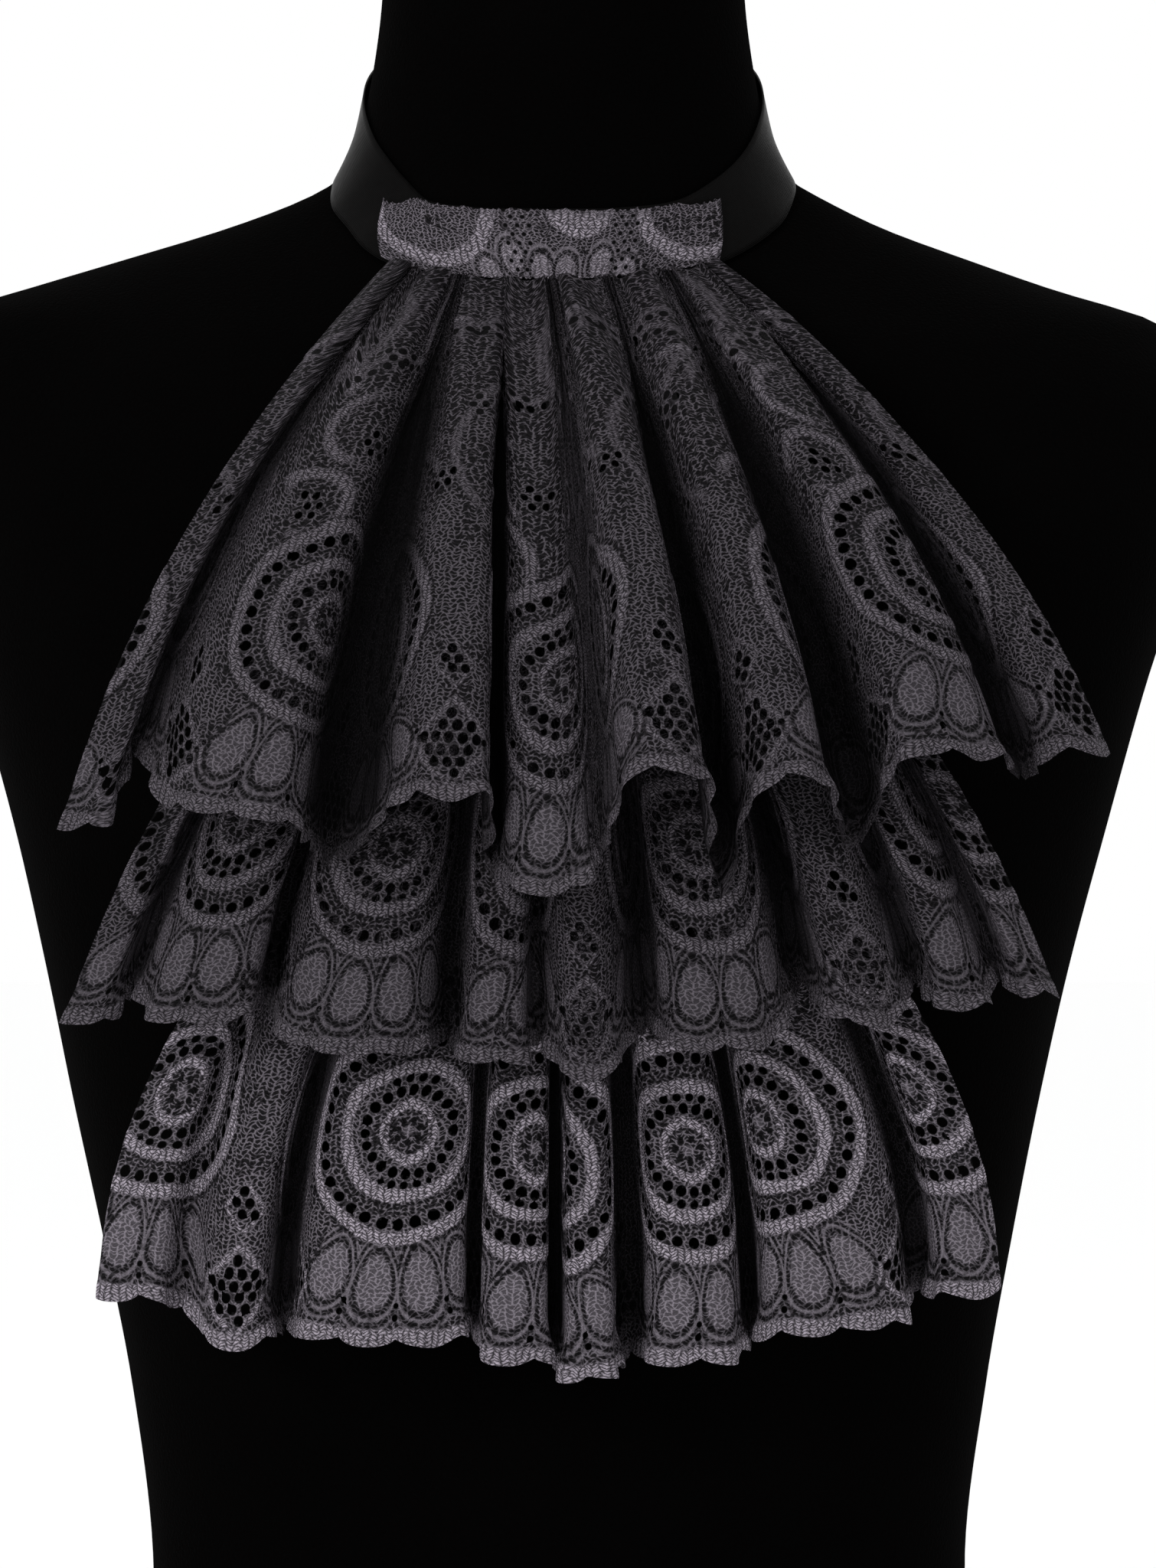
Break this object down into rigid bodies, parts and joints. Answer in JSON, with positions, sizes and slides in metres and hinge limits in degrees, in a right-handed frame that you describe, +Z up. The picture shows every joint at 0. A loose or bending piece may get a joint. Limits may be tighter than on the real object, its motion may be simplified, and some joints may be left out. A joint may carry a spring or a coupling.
{
  "type": "lace jabot on a dress form",
  "caption": "Gathered black lace jabot with scalloped ruffles on a ribbon neckband, worn by a limbless velvet-covered dress form that stands on its flat base.",
  "frame": {"origin": "middle of the dress form's flat base, under its neck", "axes": "+Z up, -Y to the jabot's front, +X to the right of someone who looks at the front"},
  "size_m": [0.4479, 0.3234, 0.668],
  "materials": {
    "velvet": "short black velvet jersey, matt, nearly no light returned",
    "satin": "black polyester satin ribbon, a soft sheen along its turn",
    "lace": "black machine-made galloon lace, satin-stitched braids brighter than the matt net ground",
    "backing_cloth": "plain black woven cotton, matt"
  },
  "bodies": {
    "root": {"dress_form": "velvet", "neck_ribbon": "satin", "lace_band": "lace", "backing": "backing_cloth", "ruffle_top": "lace", "ruffle_middle": "lace", "ruffle_bottom": "lace"}
  },
  "joints": []
}
